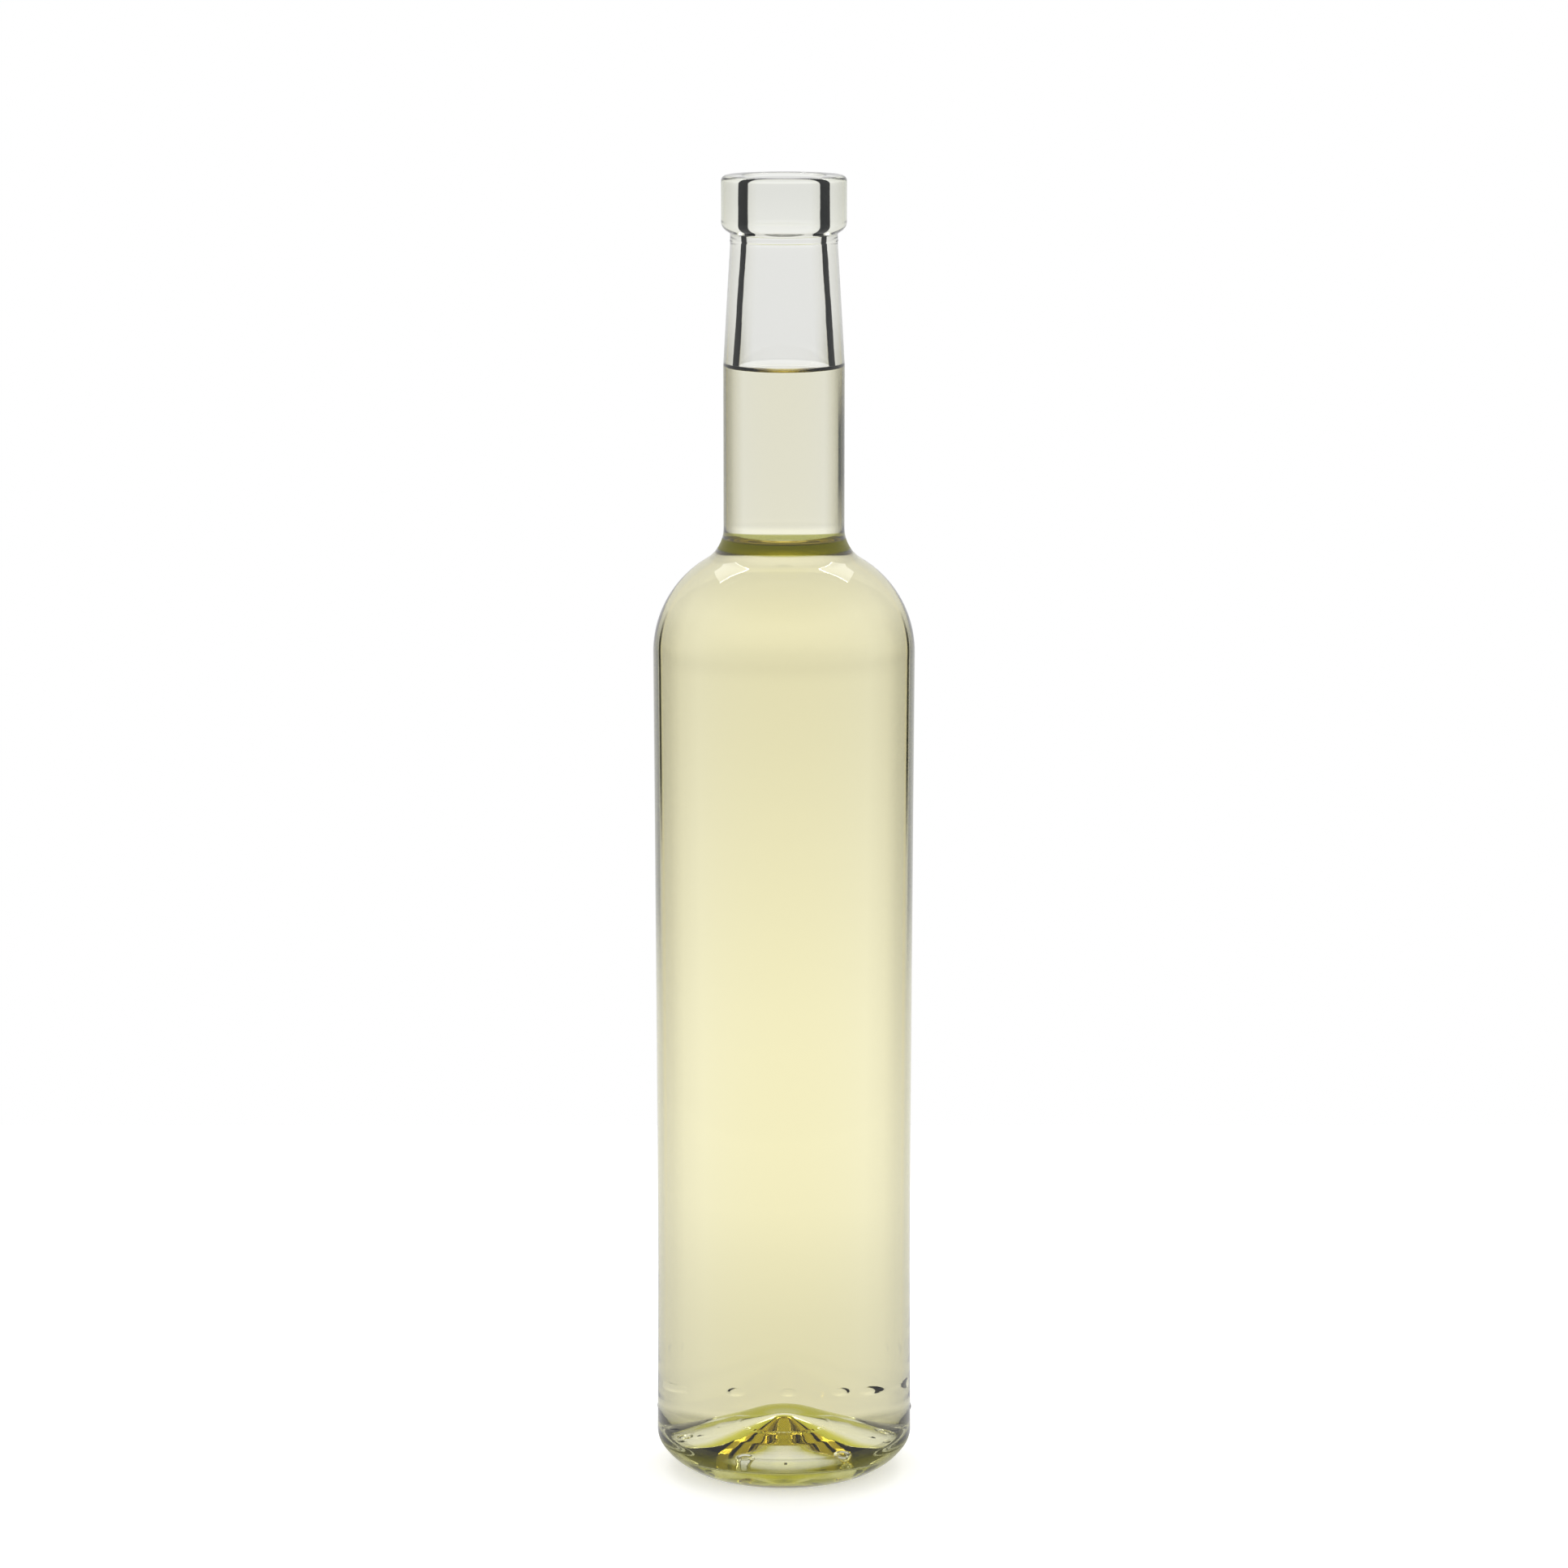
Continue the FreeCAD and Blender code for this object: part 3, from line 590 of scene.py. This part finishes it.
# the tent's light by height: -1 straight down, 0 level, 1 straight up; through
# glass its ceiling shows straw-coloured wood, and elsewhere plain paper
SKY = [(-1.0, "#ececec"), (-0.30, "#f4f4f4"), (-0.24, "#fafafa"), (-0.215, "#fafafa"),
       (-0.16, "#e9e9e9"), (-0.115, "#e4e4e4"), (-0.08, "#e4e4e4"), (0.0, "#eeeeee"),
       (0.3, "#f6f6f6"), (0.6, "#f6f6f6")]
WOOD_CEILING = [(0.8, "#d4d468"), (1.0, "#bcc048")]
PLAIN_CEILING = [(0.8, "#c8c8c8"), (1.0, "#aaaaaa")]
# lamps: how far out to each side and how far back, and their size
LAMP_HEIGHT, PANEL_LIGHT, EDGE_LIGHT, EDGE_WIDTH = 1.42, 2.0, 16.0, 0.025
PANEL_OUT, PANEL_BACK, PANEL_SIZE = 0.62, 0.98, (0.56, 0.74)
FRONT_OUT, FRONT_BACK, FRONT_SIZE = 0.60, 0.585, (0.60, EDGE_WIDTH)
INNER_OUT, INNER_SIZE, INNER_TURN = 0.378, (EDGE_WIDTH, 0.76), 13.6    # degrees
CAMERA_PLACE, LOOKS_DOWN = (0, -1.290, 0.395), 9.98                    # degrees
LENS, SENSOR = 125.96, 36.0            # mm
BOUNCES = 32                           # light is turned back often in a full bottle

# A white table that keeps the bottle's soft shadow; seen through the glass it
# is a glowing sheet with painted shade, a little dimmer close to the bottle.
bpy.ops.object.select_all(action="DESELECT")
bpy.ops.mesh.primitive_plane_add(size=TABLE, location=(0, 0, 0))
floor = bpy.context.active_object
floor.name = "studio_table"
paper, tree = new_material("white_acrylic_table")
rays = add_node(tree, "ShaderNodeLightPath").outputs
shaded = add_node(tree, "ShaderNodeBsdfDiffuse", Color=linear("#f4f4f4"))
glow = add_node(tree, "ShaderNodeEmission", Color=linear("#ffffff"), Strength=TABLE_GLOW)
direct = add_node(tree, "ShaderNodeAddShader", _0=shaded.outputs[0], _1=glow.outputs[0])
far = add_node(tree, "ShaderNodeVectorMath", {"operation": "LENGTH"},
               _0=add_node(tree, "ShaderNodeTexCoord").outputs["Object"]).outputs["Value"]
out = add_node(tree, "ShaderNodeMapRange", _0=far, _1=0.0, _2=TABLE / 2, _3=0.0, _4=1.0)
tone = add_node(tree, "ShaderNodeValToRGB", {"stops": SHEET}, _0=out.outputs[0])
sheet = add_node(tree, "ShaderNodeEmission", Color=tone.outputs["Color"], Strength=1.0)
both = add_node(tree, "ShaderNodeMixShader", _0=rays["Is Camera Ray"],
                _1=sheet.outputs[0], _2=direct.outputs[0])
add_node(tree, "ShaderNodeOutputMaterial", Surface=both.outputs[0])
floor.data.materials.append(paper)

# White paper all round, dimmer towards the ceiling, as in a tent of light.
world = bpy.data.worlds.new("studio")
scene.world = world
world.use_nodes = True
tree = world.node_tree
tree.nodes.clear()
rise = add_node(tree, "ShaderNodeSeparateXYZ",
                _0=add_node(tree, "ShaderNodeTexCoord").outputs["Generated"]).outputs["Z"]
rise = add_node(tree, "ShaderNodeMapRange", _0=rise, _1=-1.0, _2=1.0, _3=0.0, _4=1.0).outputs[0]
through, around = [
    add_node(tree, "ShaderNodeValToRGB",
             {"stops": [((height + 1) / 2, colour) for height, colour in SKY + ceiling]},
             _0=rise).outputs["Color"]
    for ceiling in (WOOD_CEILING, PLAIN_CEILING)]
rays = add_node(tree, "ShaderNodeLightPath").outputs
either = add_node(tree, "ShaderNodeMix", {"data_type": "RGBA"},
                  _0=rays["Is Transmission Ray"], _6=around, _7=through)
light = add_node(tree, "ShaderNodeBackground", Color=either.outputs[2], Strength=1.0)
seen = add_node(tree, "ShaderNodeBackground", Color=linear("#ffffff"), Strength=1.0)
sky = add_node(tree, "ShaderNodeMixShader", _0=rays["Is Camera Ray"],
               _1=light.outputs[0], _2=seen.outputs[0])
add_node(tree, "ShaderNodeOutputWorld", Surface=sky.outputs[0])


def softbox(name, x, y, size, radiance, turn=0.0):
    """A flat lamp that hangs over the table and shines down."""
    lamp = bpy.data.lights.new(name, "AREA")
    lamp.shape = "RECTANGLE"
    lamp.size, lamp.size_y = size
    lamp.energy = radiance * math.pi * size[0] * size[1]
    hung = bpy.data.objects.new(name, lamp)
    scene.collection.objects.link(hung)
    hung.location = (x, y, LAMP_HEIGHT)
    hung.rotation_euler = (0, 0, math.radians(turn))


# Two panels behind the bottle, brighter along their front and inner edges,
# which the shoulder mirrors as a pair of bright corners.
for hand, name in ((-1, "left"), (1, "right")):
    softbox("panel_" + name, hand * PANEL_OUT, PANEL_BACK, PANEL_SIZE, PANEL_LIGHT)
    softbox("front_edge_" + name, hand * FRONT_OUT, FRONT_BACK, FRONT_SIZE, EDGE_LIGHT)
    softbox("inner_edge_" + name, hand * INNER_OUT, PANEL_BACK, INNER_SIZE, EDGE_LIGHT,
            turn=-INNER_TURN * hand)

camera_data = bpy.data.cameras.new("camera")
camera_data.sensor_width, camera_data.lens = SENSOR, LENS
camera = bpy.data.objects.new("camera", camera_data)
scene.collection.objects.link(camera)
camera.location = CAMERA_PLACE
camera.rotation_euler = (math.radians(90 - LOOKS_DOWN), 0, 0)
scene.camera = camera
scene.view_settings.view_transform = "Standard"
scene.cycles.max_bounces = scene.cycles.transmission_bounces = BOUNCES
